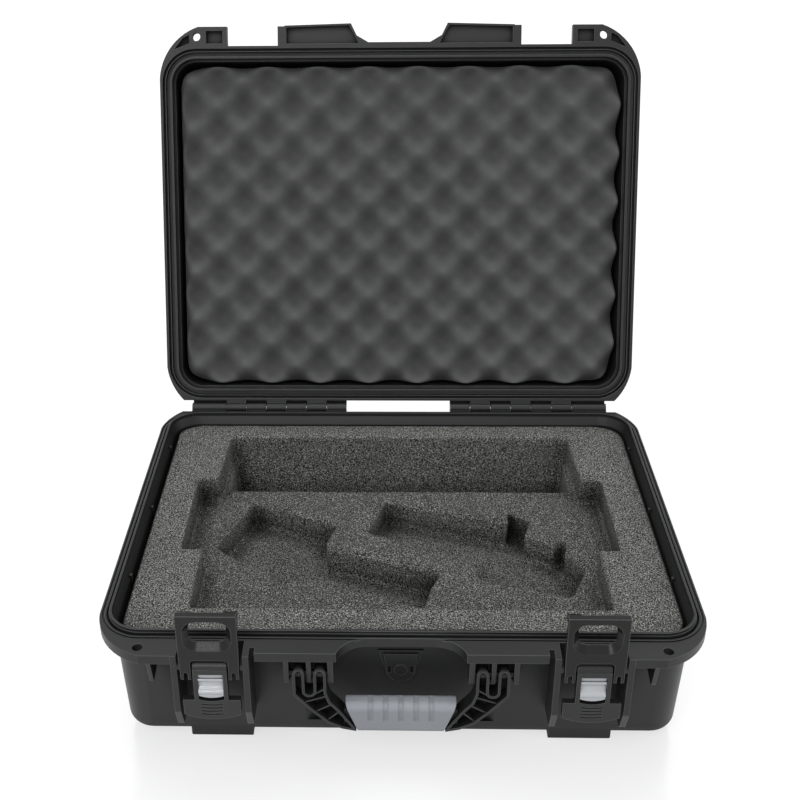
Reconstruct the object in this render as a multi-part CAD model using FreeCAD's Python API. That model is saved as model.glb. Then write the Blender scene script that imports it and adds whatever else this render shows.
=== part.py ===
import FreeCAD, Part
import math
import os

os.makedirs("parts", exist_ok=True)

# Frame: origin at the middle of the base's underside, X to the right, the
# latches towards -Y, Z up. All lengths are millimetres, angles are degrees.
# Depths named "back" are measured from the flange's front edge towards the
# hinge, and drops and rises from the plane where the two rims meet.

# Outline shared by both shells
WIDTH = 500.0
DEPTH = 393.0
RIM_SETBACK = 19.5
RIM_R = 38.0
EAR_ARC_SHARES = ((0.836, 0.0), (0.9324, 0.2904), (1.0, 1.0))
EAR_SWEEP = 52.0
HINGE_CORNER = ((0.0, 36.0), (6.5, 15.0), (17.4, 0.0))
FLANGE_H = 8.5
BASE_H = 114.0
LID_H = 52.0
RIM_GAP = 0.5

# Shell walls, as insets from the rim's outline
BODY_INSET = 10.0
CAVITY_INSET = 12.7
DRAFT = 2.5
FLOOR_T = 3.6
BASE_EDGE_R = 12.0
LID_EDGE_R = 14.0
CAVITY_EDGE_R = 9.0

# Sealing rim: a groove and a ridge on the base, a drip groove and a gasket groove in the lid
GROOVE_INSET = 5.0
GROOVE_DEPTH = 4.0
RIDGE_INSET = 7.0
RIDGE_W = 2.7
RIDGE_H = 3.8
LEDGE_W = 0.7
LEDGE_H = 1.4
OUTER_LINE_INSET = 1.4
OUTER_LINE_W = 1.8
OUTER_LINE_DEPTH = 1.4
GASKET_W = 3.9
GASKET_T = 2.6
GASKET_FIT = 0.2
GASKET_GROOVE_DEPTH = 6.6
DRIP_GROOVE_INSET = 2.7
DRIP_GROOVE_W = 2.8
DRIP_GROOVE_DEPTH = 4.0
LID_STEP = 1.7
LID_STEP_DEPTH = 9.0

# Front edge of the flange, by distance from the middle
LATCH_SHARE = 0.3048
BAY_W = 52.6
NOTCH_HALF = 53.0
NOTCH_BACK = 23.0
NOTCH_R = 26.0
TAB_BACK = 4.0
LID_TAB_BLOCK = 7.0
LID_TAB_FORWARD = 2.6
LID_TAB_STEP = 0.7
LID_TAB_IN = 50.0
LID_TAB_KNEE = (44.0, 9.5)
LID_LIP_HALF = 32.0
LID_LIP_BACK = 16.4
PADLOCK_SHARE = 0.422
PADLOCK_BACK = 10.0
PADLOCK_R = 4.35
PADLOCK_BOSS_R = 7.3
PADLOCK_BOSS_H = 1.2
POCKET_H = 6.0
POCKET_WALL = 2.0
EAR_SQUARE = ((4.9, 4.3), (10.3, 17.0))
EAR_TRIANGLE = ((7.0, 16.5), (7.5, 8.0), (14.0, 11.5), (23.0, 22.5))
GUSSET_SHARE = 0.4036
GUSSET_T = 3.4
GUSSET_BACK = 1.0
GUSSET_TOE_DROP = 34.0
GUSSET_TOE_BACK = 8.0
GUSSET_TOE_R = 2.5
GUSSET_HEEL_DROP = 28.0

# Latch bays and feet
BAY_RIB_T = 5.0
BAY_RIB_OUT = 0.4
BAY_RIB_DROP = 58.0
BAY_RIB_TOE_DROP = 79.0
BAY_RIB_TOE_BACK = 8.0
BAY_RIB_TOE_R = 4.0
BAY_RIB_HEEL_DROP = 80.0
BAY_SLOT_W = 4.0
BAY_SLOT_BACK = 11.0
PIN_BOSS_R = 4.4
PIN_BOSS_REACH = 2.3
FOOT_H = 5.2
FOOT_W = 53.2
FOOT_L = 36.0
FOOT_RISE = 15.0
FOOT_R = 4.0

# Finger recess behind the handle
RECESS_HALF = 70.0
RECESS_SPLAY = 16.0
RECESS_DEPTH = 10.0
RECESS_WALL = 3.2
RECESS_DROP = 14.0
RECESS_FLOOR = 16.0

# Small ribs on the inner side walls
WALL_RIB_T = 3.0
WALL_RIB_OUT = 2.4
WALL_RIB_TOP = 5.0
WALL_RIB_H = 22.0
WALL_RIB_SHARES = (-0.22, 0.05, 0.33)

# Hinge
HINGE_BACK = 8.0
KNUCKLE_R = 5.2
KNUCKLE_PITCH = 21.8
KNUCKLE_GAP = 0.8
KNUCKLE_COUNT = 7
KNUCKLE_ROW = 167.0
KNUCKLE_END_IN = 27.0
HINGE_PIN_R = 2.5
HINGE_COVER_GAP = 0.6
HINGE_COVER_OUT = 6.5
RUNNING_FIT = 0.05
LID_ANGLE = 109.4

# Handle
HANDLE_PIVOT_BACK = 10.0
HANDLE_PIVOT_DROP = 24.0
HANDLE_T = 14.0
HANDLE_EYE_R = 7.0
HANDLE_HUB_R = 3.8
HANDLE_PIN_R = 2.5
HANDLE_EARS = ((54.4, 58.8), (72.2, 75.8), (90.2, 94.2))
HANDLE_LOOPS = ((60.3, 70.3), (77.7, 87.1))
EAR_FRONT_BACK = 3.0
EAR_DROP = 32.5
EAR_TOE = 16.0
ARM_SHELL = 2.1
ARM_WEB_T = 3.0
ARM_RIB_T = 1.2
ARM_RIB_SETBACK = 1.5
VALLEY_DROP = 42.2
ARM_OUTER = ((87.1, 42.3), (72.6, 59.5), (59.6, 72.4), (48.1, 78.0), (36.4, 80.6))
ARM_INNER = ((60.3, 39.6), (57.3, 49.4), (49.2, 59.2), (38.0, 76.0))
ARM_RIBS = (
    ((61.5, 37.0), (70.0, 42.5)), ((59.0, 44.2), (77.5, 51.0)),
    ((55.0, 52.6), (68.5, 60.7)), ((49.0, 60.0), (60.0, 70.3)),
)
GRIP_HALF_TOP = 45.1
GRIP_HALF_FOOT = 33.9
GRIP_TOP_DROP = 52.0
GRIP_FOOT_DROP = 82.0
GRIP_T = 17.0
GRIP_EDGE_R = 6.5
GRIP_FIT = 0.2
BAR_W = 7.0
BAR_TOP_DROP = 60.0
BAR_FOOT_DROP = 75.0
BAR_END = 8.3
FLUTE_COUNT = 5
FLUTE_PITCH = 12.4
FLUTE_R = 2.9
FLUTE_DEPTH = 1.3
FLUTE_FOOT_DROP = 67.0

# Latches, measured from their pin
LATCH_PIN_BACK = 4.0
LATCH_PIN_DROP = 12.0
LATCH_PIN_R = 2.0
LATCH_PIN_HOLD = 3.2
CLAW_OUT = 6.0
CLAW_T = 5.5
CLAW_TOP_W = 48.0
CLAW_LEG_W = 47.0
CLAW_SHOULDER = 12.0
CLAW_RISE = 53.0
CLAW_TAIL = 10.5
CLAW_EYE_R = 5.0
CLAW_LIP_IN = 6.5
CLAW_LIP_T = 4.0
CLAW_LIP_FALL = 4.0
CLAW_LIP_RELIEF = 25.0
CLAW_LIP_RELIEF_IN = 3.0
CLAW_CUT_W = 30.0
CLAW_CUT_RISE = 9.0
CLAW_CUT_R = 3.5
CLAW_TIP_R = 1.6
CLAW_SLOT_W = 3.4
CLAW_SLOT_H = 7.2
WINDOW_W = 30.0
WINDOW_H = 20.6
WINDOW_LOW = 24.8
WINDOW_BEVEL = 4.3
WINDOW_BEVEL_T = 4.4
WINDOW_EASE = 3.3
CATCH_RISE = 30.0
CATCH_T = 6.0
CATCH_BACK = 17.0
CATCH_W = 40.0
LEVER_OUT = 6.8
LEVER_T = 5.6
LEVER_BARREL_R = 5.8
LEVER_NECK_W = 27.4
LEVER_WING_W = 46.4
LEVER_WING_DROP = 31.0
LEVER_END_DROP = 46.4
LEVER_END_SAG = 5.0
LEVER_CUT_W = 20.6
LEVER_CUT_TOP = 4.8
LEVER_CUT_FOOT = 30.3
LEVER_CUT_SAG = 1.9
LEVER_CORNER_R = 2.0
LEVER_GROOVES = 4
LEVER_GROOVE_W = 17.5
LEVER_GROOVE_PITCH = 3.4
LEVER_GROOVE_H = 1.5
LEVER_GROOVE_DEPTH = 0.9
LEVER_GROOVE_DROP = 34.6
LEVER_GROOVE_SAG = 0.7
SLIDE_T = 4.4
SLIDE_H = 22.0
SLIDE_SAG = 2.0
SLIDE_STEP_H = 4.3
SLIDE_STEP_DEPTH = 1.2
SLIDE_FIT = 0.3
SLIDE_SCOOP_R = 5.2
SLIDE_SCOOP_DEPTH = 2.0
SLIDE_SCOOP_DROP = 10.6
SLIDE_LIP_R = 2.8
SLIDE_LIP_UP = 3.8
SLIDE_LIP_OUT = 1.2
RAIL_W = 1.4
RAIL_T = 1.6

# Pressure valve
VALVE_DROP = 45.2
VALVE_FRAME = (37.4, 20.0, 12.8)
VALVE_FRAME_T = 1.2
VALVE_PLATE = (28.4, 17.7, 11.8)
VALVE_CAP_T = 3.0
VALVE_SLOT_W = 3.0
VALVE_SLOT_H = 7.5
VALVE_SLOT_X = 9.35
VALVE_SLOT_DEPTH = 2.2
VALVE_EYE_UP = 1.4
VALVE_EYE_R = 5.6
VALVE_EYE_T = 0.8
VALVE_FACE_T = 1.0
VALVE_PORT_R = 5.0
VALVE_BODY_R = 8.0
VALVE_BODY_T = 3.0
VALVE_BORE_R = 4.0
VALVE_SEAL_R = 10.2
VALVE_SEAL_T = 1.6
VALVE_MEMBRANE_T = 0.6
VALVE_VENT_R = 1.2
VALVE_FIT = 0.2

# Foam
FOAM_FIT = 0.8
FOAM_DROP = 8.5
LAYER_SHARE = 0.27264
LAYER_GAP = 0.3
FOAM_R = 28.0
LID_FOAM_FRONT = 39.0
LID_FOAM_BACK_IN = 18.0
LID_FOAM_SIDE_IN = 19.0
LID_FOAM_R = 24.0
LID_FOAM_PEAK = 2.0

# Foam outlines, as shares of the case's width and depth
WELL_SHARES = (
    (0.3505, 0.901), (0.3584, 0.6944), (0.398, 0.6944), (0.398, 0.3946), (0.3584, 0.3946),
    (0.3584, 0.183),
)
SLOT_HALF_SHARE = 0.3445
SLOT_FRONT_SHARE = 0.7473
POCKET_LEFT_SHARES = (
    (-0.3485, 0.5029), (-0.2891, 0.6944), (-0.1208, 0.5936), (-0.1386, 0.5282), (-0.1366, 0.4979),
    (0.0762, 0.4047), (0.0566, 0.3493), (0.0416, 0.2737), (-0.1861, 0.3845), (-0.2059, 0.3493),
    (-0.2346, 0.3695), (-0.2376, 0.4122), (-0.3, 0.445),
)
POCKET_RIGHT_SHARES = (
    (-0.0267, 0.7007), (0.2138, 0.6062), (0.2138, 0.6591), (0.2554, 0.6125), (0.2461, 0.5796),
    (0.2396, 0.5508), (0.295, 0.5205), (0.3202, 0.5319), (0.3109, 0.4853), (0.3439, 0.4198),
    (0.3065, 0.3158), (0.1697, 0.3669), (0.1426, 0.3845), (0.1445, 0.4501), (-0.0602, 0.5659),
)

# Places worked out from the sizes above
FRONT = -DEPTH / 2
BACK = DEPTH / 2
HINGE_Y = BACK + HINGE_BACK
LATCH_X = LATCH_SHARE * WIDTH
PADLOCK_X = PADLOCK_SHARE * WIDTH
KNUCKLE_OUT = WIDTH / 2 - KNUCKLE_END_IN
KNUCKLE_IN = KNUCKLE_OUT - KNUCKLE_ROW
LID_Z = BASE_H + RIM_GAP
OVER = 5.0
LINE_TOUCH = 0.01
BODY_BACK_FRONT = RIM_SETBACK + BODY_INSET
LATCH_PIN_Y = FRONT + LATCH_PIN_BACK
LATCH_PIN_Z = BASE_H - LATCH_PIN_DROP
HANDLE_Y = FRONT + HANDLE_PIVOT_BACK
HANDLE_Z = BASE_H - HANDLE_PIVOT_DROP
X_AXIS = FreeCAD.Vector(1, 0, 0)
Y_AXIS = FreeCAD.Vector(0, 1, 0)
Z_AXIS = FreeCAD.Vector(0, 0, 1)
SIDES = (("left", -1), ("right", 1))


def vec(x, y, z):
    return FreeCAD.Vector(x, y, z)


def box(x0, x1, y0, y1, z0, z1):
    return Part.makeBox(x1 - x0, y1 - y0, z1 - z0, vec(x0, y0, z0))


def cylinder_x(x0, x1, y, z, r):
    return Part.makeCylinder(r, x1 - x0, vec(x0, y, z), X_AXIS)


def cylinder_y(x, y0, y1, z, r):
    return Part.makeCylinder(r, y1 - y0, vec(x, y0, z), Y_AXIS)


def cylinder_z(x, y, z0, z1, r):
    return Part.makeCylinder(r, z1 - z0, vec(x, y, z0), Z_AXIS)


def polygon(points):
    return Part.Face(Part.makePolygon(points + points[:1]))


def prism_x(x0, x1, points):
    """Solid between x0 and x1 from an outline of (y, z) points."""
    return polygon([vec(x0, y, z) for y, z in points]).extrude(vec(x1 - x0, 0, 0))


def prism_y(y0, y1, points):
    """Solid between y0 and y1 from an outline of (x, z) points."""
    return polygon([vec(x, y0, z) for x, z in points]).extrude(vec(0, y1 - y0, 0))


def prism_z(z0, z1, points):
    """Solid between z0 and z1 from an outline of (x, y) points."""
    return polygon([vec(x, y, z0) for x, y in points]).extrude(vec(0, 0, z1 - z0))


def mirrored(points):
    """Outline points on the right, then the same points mirrored to the left."""
    return list(points) + [(-x, y) for x, y in reversed(points)]


def rounded_outline(x0, x1, y0, y1, r, z):
    """Closed wire of a rectangle with four round corners."""
    k = r * (1 - math.sqrt(0.5))
    corners = ((x1, y1, 1, 1), (x0, y1, -1, 1), (x0, y0, -1, -1), (x1, y0, 1, -1))
    arcs = []
    for x, y, sx, sy in corners:
        on_x = vec(x, y - sy * r, z)
        on_y = vec(x - sx * r, y, z)
        ends = (on_x, on_y) if sx == sy else (on_y, on_x)
        arcs.append((ends[0], vec(x - sx * k, y - sy * k, z), ends[1]))
    return arc_loop(arcs)


def arc_loop(arcs):
    """Closed wire of arcs in order, each joined to the next by a line."""
    edges = []
    for i, (start, middle, end) in enumerate(arcs):
        edges.append(Part.Arc(start, middle, end).toShape())
        following = arcs[(i + 1) % len(arcs)][0]
        edges.append(Part.LineSegment(end, following).toShape())
    return Part.Wire(edges)


def flange_outline(z):
    """The flange's outline: swept corners that end sharp at the hinge side, wider sweeps at the ears."""
    half = WIDTH / 2
    ear = [vec(x * half, FRONT + back * EAR_SWEEP, z) for x, back in EAR_ARC_SHARES]
    ear_left = [vec(-point.x, point.y, z) for point in reversed(ear)]
    right = [vec(half - inward, BACK - forward, z) for inward, forward in HINGE_CORNER]
    left = [vec(-point.x, point.y, z) for point in reversed(right)]
    return arc_loop([right, left, ear_left, ear])


def rim_outline(inset, z):
    """The sealing rim's outline, drawn in by an inset."""
    half = WIDTH / 2 - inset
    return rounded_outline(-half, half, FRONT + RIM_SETBACK + inset, BACK - inset, RIM_R - inset, z)


def slab(wire, height):
    return Part.Face(wire).extrude(vec(0, 0, height))


def rim_ring(outer, inner, z, height):
    return slab(rim_outline(outer, z), height).cut(slab(rim_outline(inner, z), height))


def draft_in(height):
    return abs(height) * math.tan(math.radians(DRAFT))


def drafted(inset, z, height, edge_r):
    """Solid that narrows away from the rim, with its far edge rounded."""
    far = z + height
    solid = Part.makeLoft([rim_outline(inset, z), rim_outline(inset + draft_in(height), far)], True, True)
    edges = [e for e in solid.Edges if abs(e.BoundBox.ZMin - far) < edge_r and e.BoundBox.ZLength < RIM_GAP]
    return solid.makeFillet(edge_r, edges)


def flange(z, height):
    """Flange plate with the latch gaps cut in its front."""
    plate = slab(flange_outline(z), height)
    for side, s in SIDES:
        x0 = s * LATCH_X - BAY_W / 2
        plate = plate.cut(box(x0, x0 + BAY_W, FRONT - OVER, FRONT + RIM_SETBACK, z - OVER, z + height + OVER))
    return plate


def inner_front(front, z, height):
    """Block over the front between the latch gaps, from a place before the flange to the rim."""
    half = LATCH_X - BAY_W / 2
    return box(-half, half, front - OVER, FRONT + RIM_SETBACK, z - OVER, z + height + OVER)


def padlock_bores(z0, z1):
    return [cylinder_z(s * PADLOCK_X, FRONT + PADLOCK_BACK, z0, z1, PADLOCK_R) for side, s in SIDES]


def knuckle(x0, x1, z0, z1):
    """Hinge knuckle with the web that carries it on the flange's back edge."""
    barrel = cylinder_x(x0, x1, HINGE_Y, BASE_H, KNUCKLE_R)
    return barrel.fuse(box(x0, x1, BACK - OVER, HINGE_Y, z0, z1))


def knuckle_spans(first):
    """Ends of every other knuckle on both sides, from the given place in the row."""
    spans = []
    for i in range(first, KNUCKLE_COUNT, 2):
        x0 = KNUCKLE_IN + i * KNUCKLE_PITCH
        x1 = x0 + KNUCKLE_PITCH - KNUCKLE_GAP
        if i == KNUCKLE_COUNT - 1:
            x1 = KNUCKLE_OUT
        spans += [(x0, x1), (-x1, -x0)]
    return spans


def knuckles(first, z0, z1):
    return [knuckle(x0, x1, z0, z1) for x0, x1 in knuckle_spans(first)]


def hinge_bore():
    return cylinder_x(-KNUCKLE_OUT - OVER, KNUCKLE_OUT + OVER, HINGE_Y, BASE_H, HINGE_PIN_R + RUNNING_FIT)


def toed_rib(x0, x1, points, toe, toe_r):
    """Upright rib between x0 and x1 with one corner of its outline rounded as a toe."""
    rib = prism_x(x0, x1, [(FRONT + back, BASE_H - drop) for back, drop in points])
    back, drop = toe
    spot = vec(x0, FRONT + back, BASE_H - drop)
    edges = [e for e in rib.Edges if e.BoundBox.XLength > LINE_TOUCH
             and e.BoundBox.YLength + e.BoundBox.ZLength < LINE_TOUCH
             and e.distToShape(Part.Vertex(spot))[0] < LINE_TOUCH]
    return rib.makeFillet(toe_r, edges)


def bay_rib(x0):
    """Upright rib beside a latch, with a round toe where it turns back to the wall."""
    wall = BODY_BACK_FRONT + OVER
    toe = (BAY_RIB_TOE_BACK, BAY_RIB_TOE_DROP)
    return toed_rib(x0, x0 + BAY_RIB_T, [
        (-BAY_RIB_OUT, 0), (-BAY_RIB_OUT, BAY_RIB_DROP), toe, (wall, BAY_RIB_HEEL_DROP), (wall, FLANGE_H),
        (RIM_SETBACK, 0)], toe, BAY_RIB_TOE_R)


def gusset(s):
    """Small hanging rib under an ear of the flange."""
    x0 = s * GUSSET_SHARE * WIDTH - GUSSET_T / 2
    wall = BODY_BACK_FRONT + OVER
    toe = (GUSSET_TOE_BACK, GUSSET_TOE_DROP)
    return toed_rib(x0, x0 + GUSSET_T, [
        (GUSSET_BACK, FLANGE_H / 2), (GUSSET_BACK, FLANGE_H), toe, (wall, GUSSET_HEEL_DROP),
        (wall, FLANGE_H / 2)], toe, GUSSET_TOE_R)


def handle_ear(x0, x1):
    """Ear plate under the flange that holds a handle pin."""
    front = FRONT + EAR_FRONT_BACK
    wall = FRONT + BODY_BACK_FRONT + OVER
    top = BASE_H - FLANGE_H / 2
    foot = BASE_H - EAR_DROP
    return prism_x(x0, x1, [
        (FRONT + TAB_BACK, top), (front + TAB_BACK, foot), (front + TAB_BACK + EAR_FRONT_BACK, foot),
        (wall, foot - EAR_TOE), (wall, top),
    ])


def foot(s, y0):
    x0 = s * LATCH_X - FOOT_W / 2
    block = box(x0, x0 + FOOT_W, y0, y0 + FOOT_L, -FOOT_H, FOOT_RISE)
    edges = [e for e in block.Edges if e.BoundBox.ZMax < 0 and e.BoundBox.ZLength < FOOT_H]
    return block.makeFillet(FOOT_R, edges)


def recess(grow, z0, z1):
    """Block that fills the finger recess, grown sideways and inwards by a wall."""
    wall = FRONT + BODY_BACK_FRONT
    deep = wall + RECESS_DEPTH + grow
    near = RECESS_HALF + RECESS_SPLAY + grow
    return prism_z(z0, z1, mirrored([(near, wall - OVER), (near, wall), (RECESS_HALF + grow, deep)]))


def make_base_shell():
    rim_front = FRONT + RIM_SETBACK
    body = drafted(BODY_INSET, BASE_H - FLANGE_H / 2, -(BASE_H - FLANGE_H / 2), BASE_EDGE_R)
    rim_plate = flange(BASE_H - FLANGE_H, FLANGE_H)
    setback = inner_front(FRONT, BASE_H - FLANGE_H, FLANGE_H)
    setback = setback.common(box(-WIDTH, WIDTH, FRONT - OVER, FRONT + TAB_BACK, 0, BASE_H + OVER))
    shell = body.fuse(rim_plate.cut(setback))
    for side, s in SIDES:
        shell = shell.fuse(bay_rib(s * LATCH_X - BAY_W / 2 - BAY_RIB_T))
        shell = shell.fuse(bay_rib(s * LATCH_X + BAY_W / 2))
        shell = shell.fuse(gusset(s))
        for x0 in (s * LATCH_X - BAY_W / 2, s * LATCH_X + BAY_W / 2 - PIN_BOSS_REACH):
            shell = shell.fuse(cylinder_x(x0, x0 + PIN_BOSS_REACH, LATCH_PIN_Y, LATCH_PIN_Z, PIN_BOSS_R))
        low = rim_front + BODY_INSET + draft_in(BASE_H)
        shell = shell.fuse(foot(s, low))
        shell = shell.fuse(foot(s, BACK - BODY_INSET - draft_in(BASE_H) - FOOT_L))
        for x0, x1 in HANDLE_EARS:
            shell = shell.fuse(handle_ear(x0, x1) if s > 0 else handle_ear(-x1, -x0))
    shell = shell.fuse(knuckles(0, BASE_H - KNUCKLE_R, BASE_H))
    cavity = drafted(CAVITY_INSET, BASE_H + OVER, -(BASE_H + OVER - FLOOR_T), CAVITY_EDGE_R)
    shell = shell.cut(cavity)
    shell = shell.fuse(recess(RECESS_WALL, FLOOR_T / 2, BASE_H - RECESS_DROP + RECESS_WALL).common(
        drafted(BODY_INSET, BASE_H, -BASE_H, BASE_EDGE_R)))
    shell = shell.cut(recess(0, RECESS_FLOOR, BASE_H - RECESS_DROP))
    notch = slab(rounded_outline(-NOTCH_HALF, NOTCH_HALF, FRONT - NOTCH_BACK, FRONT + NOTCH_BACK, NOTCH_R,
                                 BASE_H - FLANGE_H - OVER), FLANGE_H + OVER + OVER)
    shell = shell.cut(notch)
    shell = shell.cut(rim_ring(GROOVE_INSET, RIDGE_INSET, BASE_H - GROOVE_DEPTH, GROOVE_DEPTH + OVER))
    outer = OUTER_LINE_INSET + OUTER_LINE_W
    shell = shell.cut(rim_ring(OUTER_LINE_INSET, outer, BASE_H - OUTER_LINE_DEPTH, OUTER_LINE_DEPTH + OVER))
    mouth = RIDGE_INSET + RIDGE_W
    deep = CAVITY_INSET + draft_in(OVER + FLANGE_H)
    shell = shell.fuse(rim_ring(RIDGE_INSET, mouth, BASE_H - GROOVE_DEPTH, GROOVE_DEPTH + LEDGE_H))
    shell = shell.fuse(rim_ring(RIDGE_INSET + LEDGE_W, mouth, BASE_H, RIDGE_H))
    low_wire, high_wire = rim_outline(deep, BASE_H - FLANGE_H), rim_outline(mouth, BASE_H)
    shell = shell.cut(Part.makeLoft([low_wire, high_wire], True, True))
    for share in WALL_RIB_SHARES:
        y0 = share * DEPTH
        for side, s in SIDES:
            far = WIDTH / 2 - BODY_INSET - WALL_RIB_T
            near = WIDTH / 2 - CAVITY_INSET - WALL_RIB_OUT
            top = BASE_H - WALL_RIB_TOP
            rib = box(near, far, y0, y0 + WALL_RIB_T, top - WALL_RIB_H, top)
            shell = shell.fuse(rib if s > 0 else rib.mirror(vec(0, 0, 0), X_AXIS))
    cuts = [hinge_bore()]
    cuts += padlock_bores(BASE_H - FLANGE_H - OVER, BASE_H + OVER)
    for side, s in SIDES:
        middle = s * (LATCH_X - BAY_W / 2 - BAY_RIB_T - BAY_SLOT_W / 2)
        cuts.append(box(middle - BAY_SLOT_W / 2, middle + BAY_SLOT_W / 2, FRONT - OVER, FRONT + BAY_SLOT_BACK,
                        BASE_H - FLANGE_H - OVER, BASE_H + OVER))
        reach = BAY_W / 2 + LATCH_PIN_HOLD
        cuts.append(cylinder_x(s * LATCH_X - reach, s * LATCH_X + reach, LATCH_PIN_Y, LATCH_PIN_Z,
                               LATCH_PIN_R + RUNNING_FIT))
    ear_in = HANDLE_EARS[0][0]
    ear_out = HANDLE_EARS[-1][1]
    for x0, x1 in ((ear_in - OVER, ear_out + OVER), (-ear_out - OVER, -ear_in + OVER)):
        cuts.append(cylinder_x(x0, x1, HANDLE_Y, HANDLE_Z, HANDLE_PIN_R + RUNNING_FIT))
    cuts += valve_wall_cuts()
    return shell.cut(cuts)


def lid_place(shape):
    """Turns a lid piece from its closed place to the open rest place."""
    shape.rotate(vec(0, HINGE_Y, BASE_H), X_AXIS, -LID_ANGLE)
    return shape


def lid_tab_points(wall):
    """Outline of the lid's front between the latch gaps, drawn in by a wall."""
    out = LATCH_X - BAY_W / 2 - wall
    block = out - LID_TAB_BLOCK
    knee_x, knee_back = LID_TAB_KNEE
    return [
        (out, RIM_SETBACK + OVER), (out, wall), (block, wall), (block, wall - LID_TAB_STEP),
        (LID_TAB_IN + wall, wall - LID_TAB_FORWARD), (knee_x + wall, knee_back),
        (LID_LIP_HALF, LID_LIP_BACK + wall),
    ]


def lid_pockets():
    """Blind pockets that open on the rim side of the lid's ears and tabs, for the right side."""
    z0 = LID_Z - OVER
    z1 = LID_Z + POCKET_H
    (past_bay, back0), (before_hole, back1) = EAR_SQUARE
    x0 = LATCH_X + BAY_W / 2 + past_bay
    square = box(x0, PADLOCK_X - before_hole, FRONT + back0, FRONT + back1, z0, z1)
    triangle = prism_z(z0, z1, [(PADLOCK_X + x, FRONT + back) for x, back in EAR_TRIANGLE])
    out = LATCH_X - BAY_W / 2 - POCKET_WALL - LID_TAB_BLOCK
    knee_x, knee_back = LID_TAB_KNEE
    foot = RIM_SETBACK - POCKET_WALL
    tab = prism_z(z0, z1, [(x, FRONT + back) for x, back in (
        (out, POCKET_WALL - LID_TAB_STEP), (LID_TAB_IN + POCKET_WALL, POCKET_WALL - LID_TAB_FORWARD),
        (knee_x + POCKET_WALL, knee_back), (knee_x - POCKET_WALL, foot), (out, foot))])
    return [square, triangle, tab]


def make_lid_shell():
    rim_front = FRONT + RIM_SETBACK
    body = drafted(BODY_INSET, LID_Z + FLANGE_H / 2, LID_H - FLANGE_H / 2, LID_EDGE_R)
    rim_plate = flange(LID_Z, FLANGE_H).cut(inner_front(FRONT, LID_Z, FLANGE_H))
    tabs = prism_z(LID_Z, LID_Z + FLANGE_H, [(x, FRONT + back) for x, back in mirrored(lid_tab_points(0))])
    shell = body.fuse([rim_plate, tabs])
    shell = shell.fuse(knuckles(1, BASE_H + RIM_GAP, BASE_H + KNUCKLE_R))
    cover = (BACK - OVER, HINGE_Y + HINGE_COVER_OUT, BASE_H + KNUCKLE_R + HINGE_COVER_GAP, LID_Z + FLANGE_H)
    for x0, x1 in ((KNUCKLE_IN, KNUCKLE_OUT), (-KNUCKLE_OUT, -KNUCKLE_IN)):
        shell = shell.fuse(box(x0, x1, *cover))
    root = (HINGE_Y - KNUCKLE_R, HINGE_Y, BASE_H + KNUCKLE_R / 2, LID_Z + FLANGE_H)
    for x0, x1 in knuckle_spans(1):
        shell = shell.fuse(box(x0, x1, *root))
    for side, s in SIDES:
        x0 = s * LATCH_X - CATCH_W / 2
        wall = rim_front + BODY_INSET + CATCH_T
        top = BASE_H + CATCH_RISE
        shell = shell.fuse(prism_x(x0, x0 + CATCH_W, [
            (FRONT + CATCH_BACK, top), (FRONT + CATCH_BACK, top - CATCH_T), (wall, top - CATCH_T - CATCH_T),
            (wall, top),
        ]))
    cavity = drafted(CAVITY_INSET + LID_STEP, LID_Z - OVER, LID_H + OVER - FLOOR_T, CAVITY_EDGE_R)
    shell = shell.cut([cavity, slab(rim_outline(CAVITY_INSET, LID_Z - OVER), OVER + LID_STEP_DEPTH)])
    drip = DRIP_GROOVE_INSET
    shell = shell.cut(rim_ring(drip, drip + DRIP_GROOVE_W, LID_Z - OVER, OVER + DRIP_GROOVE_DEPTH))
    middle = RIDGE_INSET + RIDGE_W / 2
    reach = GASKET_W / 2 + GASKET_FIT
    shell = shell.cut(rim_ring(middle - reach, middle + reach, LID_Z - OVER, OVER + GASKET_GROOVE_DEPTH))
    pockets = lid_pockets()
    shell = shell.cut(pockets + [pocket.mirror(vec(0, 0, 0), X_AXIS) for pocket in pockets])
    shell = shell.cut([hinge_bore()] + padlock_bores(LID_Z - OVER, LID_Z + FLANGE_H + OVER))
    for side, s in SIDES:
        z0 = LID_Z + FLANGE_H
        boss = cylinder_z(s * PADLOCK_X, FRONT + PADLOCK_BACK, z0, z0 + PADLOCK_BOSS_H, PADLOCK_BOSS_R)
        shell = shell.fuse(boss.cut(padlock_bores(LID_Z, LID_Z + FLANGE_H + OVER)))
    return lid_place(shell)


def make_gasket():
    middle = RIDGE_INSET + RIDGE_W / 2
    z = LID_Z + GASKET_GROOVE_DEPTH - GASKET_T
    return lid_place(rim_ring(middle - GASKET_W / 2, middle + GASKET_W / 2, z, GASKET_T))


def make_hinge_pin(s):
    x0 = KNUCKLE_IN if s > 0 else -KNUCKLE_OUT
    return cylinder_x(x0, x0 + KNUCKLE_OUT - KNUCKLE_IN, HINGE_Y, BASE_H, HINGE_PIN_R)


def foam_outline(inset, z):
    half = WIDTH / 2 - inset
    return rounded_outline(-half, half, FRONT + RIM_SETBACK + inset, BACK - inset, FOAM_R, z)


def shared_points(shares):
    """Outline points from shares of the case's width and depth."""
    return [(x * WIDTH, FRONT + back * DEPTH) for x, back in shares]


def foam_inset(z):
    """Inset that keeps a straight foam side clear of the drafted wall at height z."""
    return CAVITY_INSET + draft_in(BASE_H + OVER - z) + FOAM_FIT


def foam_layer(z0, z1):
    layer = slab(foam_outline(foam_inset(z0), z0), z1 - z0)
    return layer.cut(recess(RECESS_WALL + FOAM_FIT, z0 - OVER, BASE_H))


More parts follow.
